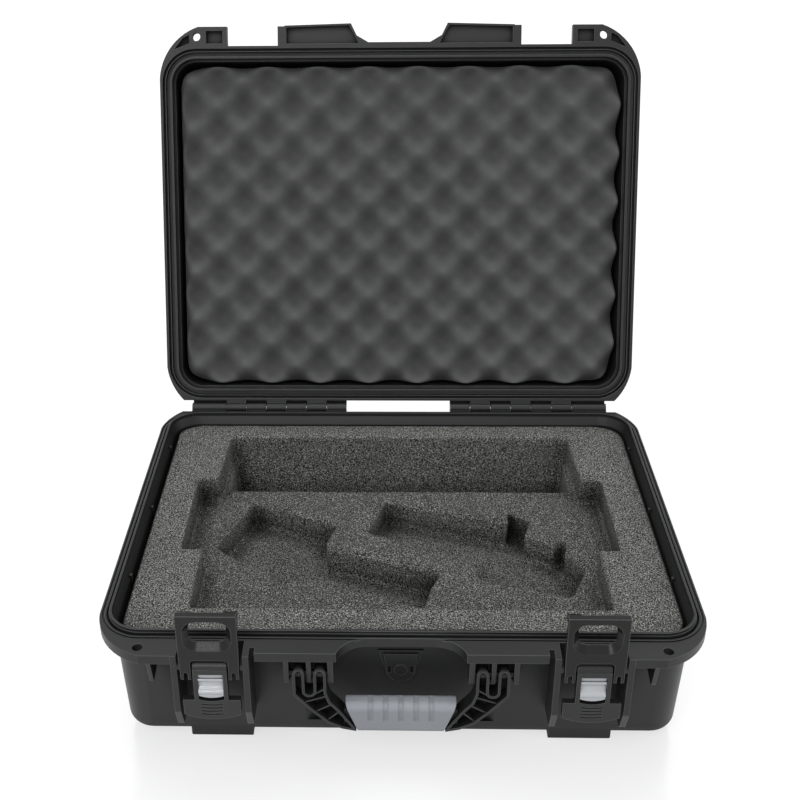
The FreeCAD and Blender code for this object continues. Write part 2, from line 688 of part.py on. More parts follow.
FRAME_TOP = BASE_H - FOAM_DROP
PAD_Z = FLOOR_T + LAYER_GAP
LAYER_T = LAYER_SHARE * (FRAME_TOP - PAD_Z)
FRAME_Z = FRAME_TOP - LAYER_T
TRAY_TOP = FRAME_Z - LAYER_GAP
TRAY_Z = TRAY_TOP - LAYER_T
BLOCK_TOP = TRAY_Z - LAYER_GAP
BLOCK_Z = BLOCK_TOP - LAYER_T
PAD_TOP = BLOCK_Z - LAYER_GAP


def make_foam_pad():
    inset = foam_inset(PAD_Z)
    low = foam_outline(inset + CAVITY_EDGE_R, PAD_Z)
    pad = Part.makeLoft([low, foam_outline(inset, PAD_Z + CAVITY_EDGE_R)], True, True)
    upper = slab(foam_outline(inset, PAD_Z + CAVITY_EDGE_R), PAD_TOP - PAD_Z - CAVITY_EDGE_R)
    return pad.fuse(upper).cut(recess(RECESS_WALL + FOAM_FIT, 0, BASE_H)).removeSplitter()


def rear_slot(z0, z1):
    half = SLOT_HALF_SHARE * WIDTH
    back = WELL_SHARES[0][1]
    return box(-half, half, FRONT + SLOT_FRONT_SHARE * DEPTH, FRONT + back * DEPTH, z0 - OVER, z1 + OVER)


def make_foam_block():
    return foam_layer(BLOCK_Z, BLOCK_TOP).cut(rear_slot(BLOCK_Z, BLOCK_TOP))


def make_foam_tray():
    tray = foam_layer(TRAY_Z, TRAY_TOP).cut(rear_slot(TRAY_Z, TRAY_TOP))
    for shares in (POCKET_LEFT_SHARES, POCKET_RIGHT_SHARES):
        tray = tray.cut(prism_z(TRAY_Z - OVER, TRAY_TOP + OVER, shared_points(shares)))
    return tray


def make_foam_frame():
    well = prism_z(FRAME_Z - OVER, FRAME_TOP + OVER, mirrored(shared_points(WELL_SHARES)))
    return foam_layer(FRAME_Z, FRAME_TOP).cut(well)


def make_lid_foam():
    z0 = LID_Z + LID_FOAM_PEAK
    z1 = LID_Z + LID_H - FLOOR_T - LAYER_GAP
    half = WIDTH / 2 - LID_FOAM_SIDE_IN
    wire = rounded_outline(-half, half, FRONT + LID_FOAM_FRONT, BACK - LID_FOAM_BACK_IN, LID_FOAM_R, z0)
    foam = slab(wire, z1 - z0)
    edges = [e for e in foam.Edges if e.BoundBox.ZMin > z1 - LAYER_GAP]
    return lid_place(foam.makeChamfer(CAVITY_EDGE_R, edges))


def at_drop(points):
    return [(x, BASE_H - drop) for x, drop in points]


def arm_face(y):
    """Front view of one arm: two round-topped loops over the slope down to the bar."""
    (inner, inner_far), (outer_near, outer) = HANDLE_LOOPS
    places = [(inner, HANDLE_PIVOT_DROP)] + list(ARM_INNER)
    places += list(reversed(ARM_OUTER)) + [(outer, HANDLE_PIVOT_DROP)]
    slope = polygon([vec(x, y, z) for x, z in at_drop(places)])
    tops = []
    for x0, x1 in HANDLE_LOOPS:
        r = (x1 - x0) / 2
        top = BASE_H - HANDLE_PIVOT_DROP + HANDLE_EYE_R - r
        tops.append(Part.Face(Part.Wire(Part.makeCircle(r, vec(x0 + r, y, top), Y_AXIS))))
        low = BASE_H - HANDLE_PIVOT_DROP
        tops.append(polygon([vec(x0, y, low), vec(x1, y, low), vec(x1, y, top), vec(x0, y, top)]))
    valley = (outer_near - inner_far) / 2
    middle = inner_far + valley
    floor_z = BASE_H - VALLEY_DROP + valley
    cut = polygon([vec(inner_far, y, floor_z), vec(outer_near, y, floor_z), vec(outer_near, y, BASE_H),
                   vec(inner_far, y, BASE_H)])
    end = Part.Face(Part.Wire(Part.makeCircle(valley, vec(middle, y, floor_z), Y_AXIS)))
    return slope.fuse(tops).cut([cut, end]).removeSplitter().Faces[0]


def arm_rib(ends, y0, y1):
    """Thin rib across an arm's pocket between two places."""
    (xa, za), (xb, zb) = at_drop(ends)
    length = math.hypot(xb - xa, zb - za)
    dx = -(zb - za) / length * ARM_RIB_T / 2
    dz = (xb - xa) / length * ARM_RIB_T / 2
    return prism_y(y0, y1, [(xa + dx, za + dz), (xb + dx, zb + dz), (xb - dx, zb - dz), (xa - dx, za - dz)])


def make_handle_frame():
    y0 = HANDLE_Y - HANDLE_T / 2
    face = arm_face(y0)
    arm = face.extrude(vec(0, HANDLE_T, 0))
    pocket = face.makeOffset2D(-ARM_SHELL).extrude(vec(0, HANDLE_T - ARM_WEB_T, 0))
    for ends in ARM_RIBS:
        pocket = pocket.cut(arm_rib(ends, y0 + ARM_RIB_SETBACK, y0 + HANDLE_T))
    arm = arm.cut(pocket)
    for x0, x1 in HANDLE_LOOPS:
        arm = arm.fuse(cylinder_x(x0, x1, HANDLE_Y, HANDLE_Z, HANDLE_HUB_R))
    tip = HANDLE_EYE_R
    for x0, x1 in HANDLE_LOOPS:
        top = box(x0, x1, y0, y0 + HANDLE_T, HANDLE_Z, HANDLE_Z + tip + OVER)
        arm = arm.cut(top.cut(cylinder_x(x0, x1, HANDLE_Y, HANDLE_Z, tip)))
    inner, outer = HANDLE_LOOPS
    bore_r = HANDLE_PIN_R + RUNNING_FIT
    arm = arm.cut(cylinder_x(inner[0] - OVER, outer[1] + OVER, HANDLE_Y, HANDLE_Z, bore_r))
    arm = arm.cut(grip_body(GRIP_FIT))
    reach = ARM_INNER[-1][0] + BAR_END
    bar = box(-reach, reach, HANDLE_Y - BAR_W / 2, HANDLE_Y + BAR_W / 2,
              BASE_H - BAR_FOOT_DROP, BASE_H - BAR_TOP_DROP)
    return arm.fuse(arm.mirror(vec(0, 0, 0), X_AXIS)).fuse(bar)


def grip_body(grow):
    """The grip's block, wider at its top, grown by a clearance."""
    y0 = HANDLE_Y - GRIP_T / 2 - grow
    y1 = HANDLE_Y + GRIP_T / 2 + grow
    block = prism_y(y0, y1, at_drop(mirrored([
        (GRIP_HALF_TOP + grow, GRIP_TOP_DROP - grow), (GRIP_HALF_FOOT + grow, GRIP_FOOT_DROP + grow)])))
    long_edges = [e for e in block.Edges if e.BoundBox.XLength > GRIP_HALF_TOP]
    return block.makeFillet(GRIP_EDGE_R, long_edges)


def make_handle_grip():
    grip = grip_body(0)
    bar = box(-WIDTH, WIDTH, HANDLE_Y - BAR_W / 2 - GRIP_FIT, HANDLE_Y + BAR_W / 2 + GRIP_FIT,
              BASE_H - BAR_FOOT_DROP - GRIP_FIT, BASE_H - BAR_TOP_DROP + GRIP_FIT)
    grip = grip.cut(bar)
    for i in range(FLUTE_COUNT):
        grip = grip.cut(flute((i - (FLUTE_COUNT - 1) / 2) * FLUTE_PITCH))
    return grip


def flute(x):
    """Round channel that climbs the grip's front and runs back over its rounded top."""
    off = FLUTE_R - FLUTE_DEPTH
    near = HANDLE_Y - GRIP_T / 2
    top = BASE_H - GRIP_TOP_DROP
    foot = vec(x, near - off, BASE_H - FLUTE_FOOT_DROP)
    turn_y = near + GRIP_EDGE_R
    turn_z = top - GRIP_EDGE_R
    reach = GRIP_EDGE_R + off
    bend = reach * math.sqrt(0.5)
    low = vec(x, near - off, turn_z)
    high = vec(x, turn_y, top + off)
    path = Part.Wire([
        Part.LineSegment(foot, low).toShape(),
        Part.Arc(low, vec(x, turn_y - bend, turn_z + bend), high).toShape(),
        Part.LineSegment(high, vec(x, near + GRIP_T, top + off)).toShape(),
    ])
    ring = Part.Wire(Part.makeCircle(FLUTE_R, foot, Z_AXIS))
    return path.makePipeShell([ring], True, False).fuse(Part.makeSphere(FLUTE_R, foot))


def make_handle_pin(s):
    x0 = HANDLE_EARS[0][0]
    x1 = HANDLE_EARS[-1][1]
    if s < 0:
        x0, x1 = -x1, -x0
    return cylinder_x(x0, x1, HANDLE_Y, HANDLE_Z, HANDLE_PIN_R)


def latch_place(shape, s):
    shape.translate(vec(s * LATCH_X, LATCH_PIN_Y, LATCH_PIN_Z))
    return shape


def edges_along_y(shape, z):
    """Edges of a shape that run front to back at one height."""
    return [e for e in shape.Edges if e.BoundBox.YLength > LINE_TOUCH and e.BoundBox.ZLength < LINE_TOUCH
            and e.BoundBox.XLength < LINE_TOUCH and abs(e.BoundBox.ZMax - z) < LINE_TOUCH]


def make_claw(s):
    """Hook plate that stands on the latch pin, drawn round the pin's centre."""
    y0 = -CLAW_OUT
    y1 = y0 + CLAW_T
    top = CLAW_TOP_W / 2
    leg = CLAW_LEG_W / 2
    plate = prism_y(y0, y1, mirrored([(leg, -CLAW_TAIL), (leg, 0), (top, CLAW_SHOULDER), (top, CLAW_RISE)]))
    plate = plate.makeFillet(CLAW_TIP_R, edges_along_y(plate, -CLAW_TAIL))
    lip = prism_x(-top, top, [
        (y0, CLAW_RISE), (y1 + CLAW_LIP_IN, CLAW_RISE - CLAW_LIP_FALL),
        (y1 + CLAW_LIP_IN, CLAW_RISE - CLAW_LIP_FALL - CLAW_LIP_T), (y0, CLAW_RISE - CLAW_LIP_T),
    ])
    relief = box(-CLAW_LIP_RELIEF / 2, CLAW_LIP_RELIEF / 2, y1 + CLAW_LIP_IN - CLAW_LIP_RELIEF_IN,
                 y1 + CLAW_LIP_IN + OVER, CLAW_RISE - CLAW_LIP_T - OVER, CLAW_RISE + OVER)
    claw = plate.fuse(lip.cut(relief))
    claw = claw.fuse(cylinder_x(-leg, leg, 0, 0, CLAW_EYE_R))
    cut = CLAW_CUT_W / 2
    fork = box(-cut, cut, y0 - OVER, CLAW_EYE_R + OVER, -CLAW_TAIL - OVER, CLAW_CUT_RISE)
    claw = claw.cut(fork.makeFillet(CLAW_CUT_R, edges_along_y(fork, CLAW_CUT_RISE)))
    middle = (leg + cut) / 2
    arch = CLAW_SLOT_H - CLAW_TAIL - CLAW_SLOT_W / 2
    for x in (-middle, middle):
        claw = claw.cut(box(x - CLAW_SLOT_W / 2, x + CLAW_SLOT_W / 2, y0 - OVER, CLAW_EYE_R + OVER,
                            -CLAW_TAIL - OVER, arch))
        claw = claw.cut(cylinder_y(x, y0 - OVER, CLAW_EYE_R + OVER, arch, CLAW_SLOT_W / 2))
    round_r = WINDOW_H / 2 - WINDOW_EASE
    window = slab(rounded_outline(-WINDOW_W / 2, WINDOW_W / 2, WINDOW_LOW, WINDOW_LOW + WINDOW_H,
                                  round_r, y0 - OVER), CLAW_T + OVER + OVER)
    bevel = Part.makeLoft([
        rounded_outline(-WINDOW_W / 2 - grow, WINDOW_W / 2 + grow, WINDOW_LOW - grow - grow / 2,
                        WINDOW_LOW + WINDOW_H + grow / 2, round_r + grow, y)
        for grow, y in ((WINDOW_BEVEL, y0), (0, y0 + WINDOW_BEVEL_T))
    ], True, True)
    for tool in (window, bevel):
        tool.rotate(vec(0, 0, 0), X_AXIS, 90)
        tool = tool.mirror(vec(0, 0, 0), Y_AXIS)
        claw = claw.cut(tool)
    claw = claw.cut(cylinder_x(-leg - OVER, leg + OVER, 0, 0, LATCH_PIN_R + RUNNING_FIT))
    return latch_place(claw, s)


def hung_block(half, y0, y1, top, top_sag, foot, foot_sag):
    """Block between two levels, whose top and foot may hang down in the middle."""
    corners = [(-half, top), (half, top), (half, foot), (-half, foot)]
    edges = []
    for (xa, za), (xb, zb), sag in zip(corners, corners[1:] + corners[:1], (top_sag, 0, foot_sag, 0)):
        a, b = vec(xa, y0, za), vec(xb, y0, zb)
        if sag:
            edges.append(Part.Arc(a, vec(0, y0, za - sag), b).toShape())
        else:
            edges.append(Part.LineSegment(a, b).toShape())
    return Part.Face(Part.Wire(edges)).extrude(vec(0, y1 - y0, 0))


def make_lever(s):
    """Pull lever on the latch pin, hanging flush in its bay."""
    y0 = -LEVER_OUT
    y1 = y0 + LEVER_T
    neck = LEVER_NECK_W / 2
    foot_z = -LEVER_END_DROP
    barrel = cylinder_x(-neck, neck, 0, 0, LEVER_BARREL_R)
    lever = barrel.fuse(box(-neck, neck, y0, y1, -LEVER_WING_DROP - OVER, 0))
    pad = hung_block(LEVER_WING_W / 2, y0, y1, -LEVER_WING_DROP, 0, foot_z, LEVER_END_SAG)
    lever = lever.fuse(pad.makeFillet(LEVER_CORNER_R, edges_along_y(pad, foot_z)))
    cut = LEVER_CUT_W / 2
    top = -LEVER_CUT_TOP
    lever = lever.cut(hung_block(cut, y0 - OVER, y1 + OVER, top, 0, -LEVER_CUT_FOOT, LEVER_CUT_SAG))
    rail_x = cut + RAIL_W
    rail_y = y0 + (LEVER_T - RAIL_T) / 2
    lever = lever.cut(box(-rail_x, rail_x, rail_y, rail_y + RAIL_T, -LEVER_CUT_FOOT, top))
    for i in range(LEVER_GROOVES):
        z = -LEVER_GROOVE_DROP - i * LEVER_GROOVE_PITCH
        lever = lever.cut(hung_block(LEVER_GROOVE_W / 2, y0 - OVER, y0 + LEVER_GROOVE_DEPTH,
                                     z, LEVER_GROOVE_SAG, z - LEVER_GROOVE_H, LEVER_GROOVE_SAG))
    lever = lever.cut(cylinder_x(-neck - OVER, neck + OVER, 0, 0, LATCH_PIN_R + RUNNING_FIT))
    return latch_place(lever.removeSplitter(), s)


def make_slide(s):
    """Lock slide that rides on two rails in the lever's window."""
    y0 = -LEVER_OUT + (LEVER_T - SLIDE_T) / 2
    y1 = y0 + SLIDE_T
    half = LEVER_CUT_W / 2 - SLIDE_FIT
    top = -LEVER_CUT_TOP - SLIDE_FIT
    foot_z = top - SLIDE_H
    slide = hung_block(half, y0, y1, top, 0, foot_z, SLIDE_SAG)
    middle_y = -LEVER_OUT + LEVER_T / 2
    reach = half + RAIL_W
    rail = RAIL_T / 2 - SLIDE_FIT
    slide = slide.fuse(box(-reach, reach, middle_y - rail, middle_y + rail, foot_z, top))
    lip_y = y0 - SLIDE_LIP_OUT + SLIDE_LIP_R
    slide = slide.fuse(cylinder_x(-half, half, lip_y, foot_z + SLIDE_LIP_UP, SLIDE_LIP_R))
    scoop_y = y0 - SLIDE_SCOOP_R + SLIDE_SCOOP_DEPTH
    slide = slide.cut(cylinder_x(-half, half, scoop_y, top - SLIDE_SCOOP_DROP, SLIDE_SCOOP_R))
    slide = slide.cut(box(-half, half, y0 - OVER, y0 + SLIDE_STEP_DEPTH, top - SLIDE_STEP_H, top + OVER))
    return latch_place(slide, s)


def make_latch_pin(s):
    reach = BAY_W / 2 + LATCH_PIN_HOLD - SLIDE_FIT
    return latch_place(cylinder_x(-reach, reach, 0, 0, LATCH_PIN_R), s)


def valve_y():
    """Outer face of the recess wall, where the valve sits."""
    return FRONT + BODY_BACK_FRONT + RECESS_DEPTH


def shield(y0, y1, sizes):
    """Shield outline: a flat top with sides that run into a round foot."""
    top_w, up, r = sizes
    z = BASE_H - VALVE_DROP
    block = prism_y(y0, y1, mirrored([(top_w / 2, z + up), (r, z)]))
    return block.fuse(cylinder_y(0, y0, y1, z, r)).removeSplitter()


def valve_wall_cuts():
    z = BASE_H - VALVE_DROP
    y = valve_y()
    return [
        cylinder_y(0, y - OVER, y + VALVE_SEAL_T, z, VALVE_SEAL_R + VALVE_FIT),
        cylinder_y(0, y, y + RECESS_WALL + OVER, z, VALVE_VENT_R),
    ]


def make_valve_cap():
    """Raised plate on a wider frame, with two vent slots beside a round eye."""
    y1 = valve_y() - VALVE_FIT
    y0 = y1 - VALVE_CAP_T
    z = BASE_H - VALVE_DROP
    eye_z = z + VALVE_EYE_UP
    cap = shield(y1 - VALVE_FRAME_T, y1, VALVE_FRAME).fuse(shield(y0, y1, VALVE_PLATE))
    cap = cap.fuse(cylinder_y(0, y0 - VALVE_EYE_T, y1, eye_z, VALVE_EYE_R))
    cap = cap.cut(cylinder_y(0, y0 + VALVE_FACE_T, y1 + OVER, z, VALVE_BODY_R + VALVE_FIT))
    for side, s in SIDES:
        x = s * VALVE_SLOT_X
        cap = cap.cut(box(x - VALVE_SLOT_W / 2, x + VALVE_SLOT_W / 2, y0 - OVER, y0 + VALVE_SLOT_DEPTH,
                          eye_z - VALVE_SLOT_H / 2, eye_z + VALVE_SLOT_H / 2))
    return cap


def make_valve_body():
    y1 = valve_y() + VALVE_SEAL_T - VALVE_FIT
    z = BASE_H - VALVE_DROP
    body = cylinder_y(0, y1 - VALVE_BODY_T, y1, z, VALVE_BODY_R)
    port_r = VALVE_PORT_R + VALVE_FIT
    body = body.cut(cylinder_y(0, y1 - VALVE_BODY_T - OVER, y1 - VALVE_MEMBRANE_T, z, port_r))
    return body.cut(cylinder_y(0, y1 - OVER, y1 + OVER, z, VALVE_BORE_R))


def make_valve_membrane():
    y1 = valve_y() + VALVE_SEAL_T - VALVE_FIT - VALVE_MEMBRANE_T
    return cylinder_y(0, y1 - VALVE_MEMBRANE_T, y1, BASE_H - VALVE_DROP, VALVE_PORT_R)


def make_valve_seal():
    y0 = valve_y()
    z = BASE_H - VALVE_DROP
    ring = cylinder_y(0, y0, y0 + VALVE_SEAL_T, z, VALVE_SEAL_R)
    return ring.cut(cylinder_y(0, y0 - OVER, y0 + OVER, z, VALVE_BODY_R + VALVE_FIT))


def save(name, shape):
    if len(shape.Solids) == 1:
        shape = shape.Solids[0]
    shape.exportStep("parts/" + name + ".step")
    print(name, len(shape.Solids), shape.isValid(), round(shape.Volume))


save("base_shell", make_base_shell())
save("lid_shell", make_lid_shell())
save("lid_gasket", make_gasket())
save("foam_bottom_pad", make_foam_pad())
save("foam_under_block", make_foam_block())
save("foam_mic_tray", make_foam_tray())
save("foam_top_frame", make_foam_frame())
save("foam_lid", make_lid_foam())
save("handle_frame", make_handle_frame())
save("handle_grip", make_handle_grip())
for side_name, sign in SIDES:
    save("hinge_pin_" + side_name, make_hinge_pin(sign))
    save("handle_pin_" + side_name, make_handle_pin(sign))
    save("latch_pin_" + side_name, make_latch_pin(sign))
    save("latch_claw_" + side_name, make_claw(sign))
    save("latch_lever_" + side_name, make_lever(sign))
    save("latch_slide_" + side_name, make_slide(sign))
save("valve_cap", make_valve_cap())
save("valve_body", make_valve_body())
save("valve_membrane", make_valve_membrane())
save("valve_seal", make_valve_seal())
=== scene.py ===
import math

import bmesh
import bpy
import numpy as np
from mathutils import Matrix, Vector, noise

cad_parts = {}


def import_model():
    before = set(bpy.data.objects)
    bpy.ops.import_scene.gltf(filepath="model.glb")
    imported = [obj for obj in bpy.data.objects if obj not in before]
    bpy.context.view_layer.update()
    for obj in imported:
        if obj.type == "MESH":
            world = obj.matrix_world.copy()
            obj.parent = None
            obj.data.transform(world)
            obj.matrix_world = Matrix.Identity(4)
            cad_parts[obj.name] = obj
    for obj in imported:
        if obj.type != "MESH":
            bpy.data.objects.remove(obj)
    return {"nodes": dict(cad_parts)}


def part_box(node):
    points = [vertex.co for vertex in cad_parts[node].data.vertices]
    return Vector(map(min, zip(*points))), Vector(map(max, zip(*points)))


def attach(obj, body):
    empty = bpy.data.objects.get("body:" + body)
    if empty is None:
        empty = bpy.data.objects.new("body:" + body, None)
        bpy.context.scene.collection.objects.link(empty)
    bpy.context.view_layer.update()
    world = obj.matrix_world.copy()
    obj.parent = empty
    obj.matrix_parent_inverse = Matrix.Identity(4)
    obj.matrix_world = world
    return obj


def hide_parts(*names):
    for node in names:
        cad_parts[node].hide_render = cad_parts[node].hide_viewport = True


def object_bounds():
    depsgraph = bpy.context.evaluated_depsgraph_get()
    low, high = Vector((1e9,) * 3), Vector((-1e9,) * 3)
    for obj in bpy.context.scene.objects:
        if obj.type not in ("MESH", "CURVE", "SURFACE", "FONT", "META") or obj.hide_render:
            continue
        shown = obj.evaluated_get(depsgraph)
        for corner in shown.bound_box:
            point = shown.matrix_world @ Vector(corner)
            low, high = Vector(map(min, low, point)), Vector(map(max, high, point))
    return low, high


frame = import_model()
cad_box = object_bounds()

scene = bpy.context.scene
nodes = frame["nodes"]

# Lengths and places are in metres unless a name ends in _mm, and angles are in degrees unless noted.

# Place of the lid's hinge and the lid's turn from closed to open, as the CAD has them
HINGE_Y, HINGE_Z = 0.2045, 0.114
LID_OPEN = math.radians(109.4)

# Painted shade darkens the upward faces of the foam's lower sheets, the pocket floors, to the factor below:
# fully below the second height and fading out up to the first.
POCKET_SHADE_NONE_Z, POCKET_SHADE_FULL_Z = 0.090, 0.086
POCKET_SHADE = 0.76

SHADING_SAMPLES = 8

# Without a seed the noise in the foam's shapes would differ from run to run.
NOISE_SEED = 5
noise.seed_set(NOISE_SEED)


# Materials

def grey(value):
    return (value, value, value)


def solid(colour, times=1.0):
    """Colour with full opacity, made lighter or darker by a factor."""
    return tuple(times * c for c in colour) + (1.0,)


class Net:
    """Node tree of a new material, with short calls to add and join nodes."""

    def __init__(self, name):
        self.mat = bpy.data.materials.new(name)
        self.mat.use_nodes = True
        self.tree = self.mat.node_tree
        self.shader = self.tree.nodes["Principled BSDF"]
        self.place = self.add("ShaderNodeTexCoord").outputs["Object"]

    def add(self, kind, **values):
        node = self.tree.nodes.new(kind)
        for key, value in values.items():
            if hasattr(node, key):
                setattr(node, key, value)
            else:
                self.put(value, node.inputs[key.replace("_", " ")])
        return node

    def put(self, value, socket):
        if isinstance(value, bpy.types.NodeSocket):
            self.tree.links.new(value, socket)
        else:
            socket.default_value = value

    def set(self, **values):
        for key, value in values.items():
            self.put(value, self.shader.inputs[key.replace("_", " ")])

    def grain(self, scale, detail=2.0, rough=0.5, warp=0.0):
        node = self.add("ShaderNodeTexNoise", Vector=self.place, Scale=scale, Detail=detail,
                        Roughness=rough, Distortion=warp)
        return node.outputs["Fac"]

    def cells(self, scale):
        return self.add("ShaderNodeTexVoronoi", Vector=self.place, Scale=scale).outputs["Distance"]

    def ramp(self, fac, *stops):
        node = self.add("ShaderNodeValToRGB", Fac=fac)
        marks = node.color_ramp.elements
        for mark, (at, colour) in zip(marks, stops):
            mark.position = at
            mark.color = solid(colour)
        for at, colour in stops[2:]:
            marks.new(at).color = solid(colour)
        return node.outputs["Color"]

    def level(self, fac, low, high, a, b):
        """Maps a value from low to high onto a to b."""
        node = self.add("ShaderNodeMapRange", Value=fac)
        for key, value in zip(("From Min", "From Max", "To Min", "To Max"), (low, high, a, b)):
            node.inputs[key].default_value = value
        return node.outputs["Result"]

    def math(self, kind, a, b):
        node = self.add("ShaderNodeMath", operation=kind)
        self.put(a, node.inputs[0])
        self.put(b, node.inputs[1])
        return node.outputs[0]

    def mix(self, fac, a, b, kind="MIX"):
        node = self.add("ShaderNodeMix", data_type="RGBA", blend_type=kind)
        for value, socket in ((fac, node.inputs[0]), (a, node.inputs[6]), (b, node.inputs[7])):
            self.put(value, socket)
        return node.outputs[2]

    def times(self, a, b):
        """Product of two colours."""
        return self.mix(1.0, a, b, "MULTIPLY")

    def bump(self, height, distance, strength, under=None):
        node = self.add("ShaderNodeBump", Height=height, Distance=distance, Strength=strength)
        if under is not None:
            self.put(under, node.inputs["Normal"])
        return node.outputs["Normal"]

    def edges(self, radius):
        """Normals that round every edge by a radius."""
        return self.add("ShaderNodeBevel", samples=SHADING_SAMPLES, Radius=radius).outputs["Normal"]

    def hollow(self, reach):
        """Share from 0 in a tight hollow to 1 on an open face."""
        return self.add("ShaderNodeAmbientOcclusion", samples=SHADING_SAMPLES, Distance=reach).outputs["AO"]

    def upward(self, vector):
        return self.add("ShaderNodeSeparateXYZ", Vector=vector).outputs["Z"]

    def pocket_floor_share(self):
        """Share that is 1 on the faces of the foam's lower sheets that look up, the pocket floors, which get
        painted shade.
        """
        low = self.level(self.upward(self.place), POCKET_SHADE_NONE_Z, POCKET_SHADE_FULL_Z, 0.0, 1.0)
        normal = self.add("ShaderNodeNewGeometry").outputs["Normal"]
        return self.math("MULTIPLY", low, self.level(self.upward(normal), 0.5, 0.8, 0.0, 1.0))

    def edge_share(self, rounded):
        """Share that is 1 along an edge that the rounded normals soften and 0 on a flat face."""
        across = self.add("ShaderNodeVectorMath", operation="DOT_PRODUCT")
        self.put(rounded, across.inputs[0])
        self.put(self.add("ShaderNodeNewGeometry").outputs["True Normal"], across.inputs[1])
        return self.level(across.outputs["Value"], 0.99, 0.84, 0.0, 1.0)


def plastic(name, dark, light, rough, grain_mm, bump_mm, edge_mm, specular, edge_highlight):
    """Moulded plastic: fine spark-eroded grain, a painted highlight that makes edges lighter, painted shade
    in hollows, small light scuffs.
    """
    net = Net(name)
    grain = net.grain(1000.0 / grain_mm, 2.0, 0.6)
    rounded = net.edges(edge_mm / 1000)
    # Painted shade: in hollows the colour darkens towards a tenth of the dark tone.
    open_share = net.level(net.hollow(0.045), 0.3, 0.75, 0.0, 1.0)
    outer = net.level(net.hollow(0.004), 0.45, 0.75, 0.0, 1.0)
    scuff = net.level(net.grain(160.0, 4.0, 0.7, 1.5), 0.66, 0.8, 0.0, 0.4)
    colour = net.ramp(net.grain(9.0, 3.0), (0.35, dark), (0.7, light))
    colour = net.mix(scuff, colour, solid(light, 2.2))
    # Painted highlight: edges that the rounded normals soften, on convex edges only, are painted lighter by
    # the edge highlight factor.
    colour = net.mix(net.math("MULTIPLY", net.edge_share(rounded), outer), colour, solid(light, edge_highlight))
    grainy = net.level(grain, 0.3, 0.7, rough - 0.05, rough + 0.05)
    closed = net.math("MULTIPLY", net.math("SUBTRACT", open_share, 1.0), 0.4)
    net.set(Base_Color=net.mix(open_share, solid(dark, 0.1), colour),
            Roughness=net.math("SUBTRACT", grainy, closed),
            Specular_IOR_Level=specular,
            Normal=net.bump(grain, bump_mm / 1000, 0.6, rounded))
    return net.mat


def rubbery(name, dark, light, rough):
    """Soft rubber: fine pores, soft edges and painted shade in its grooves."""
    net = Net(name)
    cloud = net.grain(30.0, 4.0, 0.6)
    # Painted shade: the grooves darken towards about a third of the dark tone.
    groove = net.level(net.hollow(0.004), 0.5, 0.9, 0.0, 1.0)
    clean = net.ramp(cloud, (0.3, dark), (0.7, light))
    net.set(Base_Color=net.mix(groove, solid(dark, 0.35), clean),
            Roughness=net.level(cloud, 0.3, 0.7, rough - 0.06, rough + 0.06),
            Specular_IOR_Level=0.4,
            Normal=net.bump(net.grain(1900.0), 0.00006, 0.5, net.edges(0.0007)))
    return net.mat


def steel(name, dark, light, rough):
    """Drawn rod: fine lines along the rod and softened ends."""
    net = Net(name)
    drawn = net.add("ShaderNodeMapping", Vector=net.place, Scale=(6.0, 900.0, 900.0)).outputs["Vector"]
    lines = net.add("ShaderNodeTexNoise", Vector=drawn, Scale=1.0, Detail=3.0).outputs["Fac"]
    net.set(Base_Color=net.ramp(lines, (0.3, dark), (0.7, light)),
            Roughness=net.level(lines, 0.3, 0.7, rough - 0.06, rough + 0.06), Metallic=1.0,
            Normal=net.bump(lines, 0.00003, 0.4, net.edges(0.0004)))
    return net.mat


def cut_foam(name, dark, mid, light, fleck):
    """Closed-cell foam cut by a blade: dark cell mouths, light cell walls, bright flecks, painted shade in
    hollows and on the pocket floors.
    """
    net = Net(name)
    fine = net.grain(760.0, 2.0, 0.75)
    walls = net.ramp(fine, (0.40, dark), (0.50, mid), (0.60, light))
    flecks = net.level(net.grain(950.0, 1.0), 0.60, 0.66, 0.0, 0.85)
    colour = net.mix(flecks, walls, solid(fleck))
    # Painted shade: hollows darken, down to black in the tightest ones.
    sunk = net.level(net.hollow(0.030), 0.35, 0.88, 0.10, 1.0)
    shade = net.ramp(net.grain(26.0, 3.0, 0.55), (0.3, grey(0.86)), (0.7, grey(1.0)))
    shade = net.mix(sunk, solid(grey(0.0)), shade)
    # Painted shade on the upward faces of the lower sheets, the pocket floors.
    shade = net.times(shade, net.ramp(net.pocket_floor_share(), (0.0, grey(1.0)), (1.0, grey(POCKET_SHADE))))
    height = net.math("ADD", fine, net.math("MULTIPLY", net.cells(420.0), 0.6))
    net.set(Base_Color=net.times(colour, shade), Roughness=0.95, Specular_IOR_Level=0.15,
            Normal=net.bump(height, 0.0009, 0.6))
    return net.mat


def soft_foam(name, dark, light):
    """Open-cell foam: a fine weave of small cells with dark pits, a velvety edge and painted shade in the
    dimples.
    """
    net = Net(name)
    fine = net.grain(1300.0, 2.0, 0.6)
    weave = net.ramp(fine, (0.32, dark), (0.68, light))
    cloud = net.ramp(net.grain(40.0, 3.0, 0.6), (0.3, dark), (0.7, light))
    pits = net.level(net.cells(95.0), 0.0, 0.035, 0.35, 1.0)
    # Painted shade: the dimples darken to about a third and the peaks keep their full colour.
    peak = net.ramp(net.hollow(0.026), (0.40, grey(0.36)), (0.98, grey(1.0)))
    colour = net.times(net.mix(0.5, weave, cloud), net.ramp(pits, (0.0, grey(0.0)), (1.0, grey(1.0))))
    net.set(Base_Color=net.times(colour, peak),
            Roughness=0.95, Specular_IOR_Level=0.1, Sheen_Weight=0.12, Sheen_Roughness=0.5,
            Normal=net.bump(fine, 0.0005, 0.5))
    return net.mat
